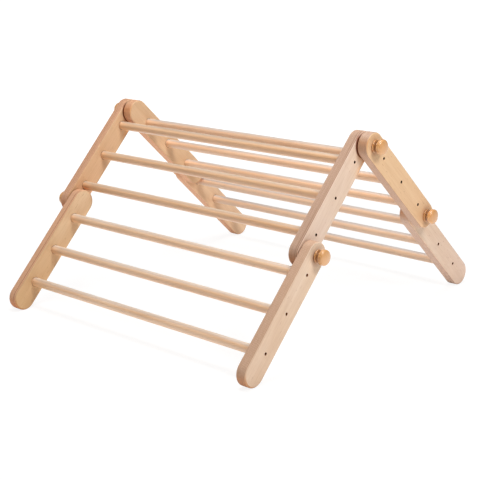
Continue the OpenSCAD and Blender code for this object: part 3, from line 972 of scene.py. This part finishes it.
# which face another rail lies against, at the upper and at the lower hinge: +x, -x or neither (1, -1, 0)
MATES = {"front_upper": (1, 1), "rear_upper": (-1, -1), "front_lower": (0, 0), "rear_lower": (0, 0)}
# how light the walls of the bored holes on each ladder are painted, standing in for the shade inside them
HOLE_SHADE_BY_LADDER = {"front_upper": 0.60, "rear_upper": 0.25, "front_lower": 2.60, "rear_lower": 1.70}
seed = 1.0
for ladder, (at, lean, lane) in LADDERS.items():
    placed = Matrix.Translation((lane, at.y, at.z)) @ Matrix.Rotation(lean, 4, "X")
    for side, word in ((-1, "left"), (1, "right")):
        node = f"{ladder}_rail_{word}"
        shape = make_rail(node, side, *HINGES[(ladder, side)])
        rail_at = placed @ Matrix.Translation((side * (LADDER_W - RAIL_T) / 2, 0, 0))
        high, low, rim = RAIL_TONE_AND_SHADE[node]
        piece = shape.build(
            node + "_board", [M_FACE, M_EDGE, M_BORE], "rail_plywood", rail_at, seed, (high, low), rim,
            RAIL_PLIES.get(node, (-1, -1, 0.0)), MATES[ladder],
            [side if kind == "through" else 0 for kind in HINGES[(ladder, side)]], HOLE_SHADE_BY_LADDER[ladder],
        )
        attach(piece, ladder)
        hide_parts(node)
        seed += 1.0
    for n, d in enumerate(RUNG_AT, 1):
        node = f"{ladder}_rung_{n}"
        rung_at = placed @ Matrix.Translation((0, 0, -d))
        piece = make_rung().build(node + "_dowel", [M_RUNG], "rung_wood", rung_at, seed, (RUNG_TINT[ladder],) * 2)
        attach(piece, ladder)
        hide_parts(node)
        seed += 1.0
    node = f"{ladder}_screws"
    piece = make_screws().build(node + "_set", [M_SCREW], "rung_screw", placed, seed)
    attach(piece, ladder)
    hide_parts(node)
    seed += 1.0

for line, at in (("apex", APEX), ("front_knee", FRONT_KNEE), ("rear_knee", REAR_KNEE)):
    for side, word in ((-1, "left"), (1, "right")):
        base = f"{line}_{word}"
        placed = Matrix.Translation((side * SIDE_X, at.y, at.z))
        if side < 0:
            placed = placed @ Matrix.Rotation(pi, 4, "Z")
        holder = [b for b, o in frame["bodies"].items() if f"{base}_insert" in record["behaviour"]["bodies"][b]][0]
        parts = (
            ("knob", make_knob(), [M_KNOB, M_BORE], "knob_wood", f"{base}_knob"),
            ("stud", make_stud(), [M_ZINC], "zinc_steel", f"{base}_knob"),
            ("washer", make_ring(0.00408, 0.012, FIT, WASHER_T - FIT, 0.0002), [M_ZINC], "zinc_steel", f"{base}_washer"),
            ("spacer", make_ring(0.00408, 0.015, -RAIL_T - LANE_GAP, -RAIL_T - FIT, 0.0003), [M_NYLON], "spacer_nylon", holder),
            ("insert", make_insert(), [M_BRASS], "brass_insert", holder),
        )
        for what, shape, mats, slot_name, body in parts:
            piece = shape.build(f"{base}_{what}_piece", mats, slot_name, placed, seed)
            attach(piece, body)
            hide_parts(f"{base}_{what}")
            seed += 1.0

# ----------------------------------------------------------------------------
# floor, light and camera
# ----------------------------------------------------------------------------
scene = bpy.context.scene
mesh = bpy.data.meshes.new("floor")
mesh.from_pydata([(-80, -80, 0), (80, -80, 0), (80, 80, 0), (-80, 80, 0)], [], [(0, 1, 2, 3)])
floor = bpy.data.objects.new("floor", mesh)
scene.collection.objects.link(floor)
# seen directly the floor is white with a faint contact shadow; the light it throws back is soft
fm = Nodes("floor_white")
fm.tree.nodes.remove(fm.bsdf)
seen = fm.add("ShaderNodeBsdfDiffuse")
seen.inputs[0].default_value = (0.9, 0.9, 0.9, 1)
glow = fm.add("ShaderNodeEmission")
glow.inputs[0].default_value = (1, 1, 1, 1)
glow.inputs[1].default_value = 1.12
back_diffuse = fm.add("ShaderNodeBsdfDiffuse")
back_diffuse.inputs[0].default_value = (FLOOR_WHITE, FLOOR_WHITE, FLOOR_WHITE, 1)
back_glow = fm.add("ShaderNodeEmission")
back_glow.name = "back_glow"
back_glow.inputs[0].default_value = (*(c / max(FLOOR_GLOW) for c in FLOOR_GLOW), 1)
near = fm.add("ShaderNodeAmbientOcclusion", samples=4)
near.inputs["Distance"].default_value = 0.16
fm.link(fm.math("MULTIPLY", fm.math("POWER", near.outputs["AO"], 2.0), max(FLOOR_GLOW)), back_glow.inputs[1])
bounce = fm.add("ShaderNodeAddShader")
fm.link(back_diffuse.outputs[0], bounce.inputs[0])
fm.link(back_glow.outputs[0], bounce.inputs[1])
# near the object 78 parts in 100 are glow, so that a contact shadow is just seen; further away it is all glow
white = fm.add("ShaderNodeMixShader")
where = fm.add("ShaderNodeTexCoord").outputs["Object"]
length = fm.add("ShaderNodeVectorMath", operation="LENGTH")
fm.link(where, length.inputs[0])
fm.link(fm.range(length.outputs["Value"], 0.8, 2.2, 0.78, 1.0), white.inputs[0])
fm.link(seen.outputs[0], white.inputs[1])
fm.link(glow.outputs[0], white.inputs[2])
path = fm.add("ShaderNodeLightPath")
both = fm.add("ShaderNodeMixShader")
fm.link(path.outputs["Is Camera Ray"], both.inputs[0])
fm.link(bounce.outputs[0], both.inputs[1])
fm.link(white.outputs[0], both.inputs[2])
fm.link(both.outputs[0], fm.out.inputs["Surface"])
mesh.materials.append(fm.mat)

world = bpy.data.worlds.new("studio")
world.use_nodes = True
world.node_tree.nodes["Background"].inputs[0].default_value = (*(c / max(ROOM) for c in ROOM), 1)
world.node_tree.nodes["Background"].inputs[1].default_value = max(ROOM)
# seen directly the room is as white as the floor, so that a low view shows no horizon
wall = world.node_tree.nodes.new("ShaderNodeBackground")
wall.inputs[0].default_value = (1, 1, 1, 1)
wall.inputs[1].default_value = 1.12
direct = world.node_tree.nodes.new("ShaderNodeLightPath")
either = world.node_tree.nodes.new("ShaderNodeMixShader")
world.node_tree.links.new(direct.outputs["Is Camera Ray"], either.inputs[0])
world.node_tree.links.new(world.node_tree.nodes["Background"].outputs[0], either.inputs[1])
world.node_tree.links.new(wall.outputs[0], either.inputs[2])
world.node_tree.links.new(either.outputs[0], world.node_tree.nodes["World Output"].inputs["Surface"])
scene.world = world


def area(name, azimuth, elevation, distance, size, power, towards=(0, 0, 0.25)):
    """A round soft light. Azimuth 0 is in front of the object (-Y), 90 on its right (+X)."""
    a, e = radians(azimuth), radians(elevation)
    at = Vector(towards) + Vector((sin(a) * cos(e), -cos(a) * cos(e), sin(e))) * distance
    light = bpy.data.lights.new(name, "AREA")
    light.shape = "DISK"
    light.size = size
    light.energy = max(power)
    light.color = [c / max(power) for c in power]
    obj = bpy.data.objects.new(name, light)
    obj.location = at
    obj.rotation_mode = "QUATERNION"
    obj.rotation_quaternion = (Vector(towards) - at).to_track_quat("-Z", "Y")
    scene.collection.objects.link(obj)
    return obj


for name, settings in LIGHTS.items():
    area(name, *settings)

# the camera: view direction, roll, distance and focal length found from the photograph
AZ, EL, ROLL = radians(43.008), radians(16.391), radians(-1.666)
UNIT = 0.00066
back = Vector((sin(AZ) * cos(EL), -cos(AZ) * cos(EL), sin(EL)))
level = Vector((cos(AZ), sin(AZ), 0.0))
up = back.cross(level)
right = level * cos(ROLL) + up * sin(ROLL)
over = up * cos(ROLL) - level * sin(ROLL)
eye = Vector((140.78, -129.80, -448.92)) * UNIT + back * 4810.12 * UNIT + Vector((-LANE / 2, 0.0, APEX.z))
camera_data = bpy.data.cameras.new("camera")
camera_data.sensor_width = 36.0
camera_data.lens = 1149.69 / 480 * 36.0
camera_data.clip_end = 100.0
camera = bpy.data.objects.new("camera", camera_data)
camera.matrix_world = Matrix((
    (right.x, over.x, back.x, eye.x),
    (right.y, over.y, back.y, eye.y),
    (right.z, over.z, back.z, eye.z),
    (0, 0, 0, 1),
))
scene.collection.objects.link(camera)
scene.camera = camera

scene.view_settings.view_transform = "Standard"
scene.view_settings.look = "None"
scene.view_settings.exposure = 0.0
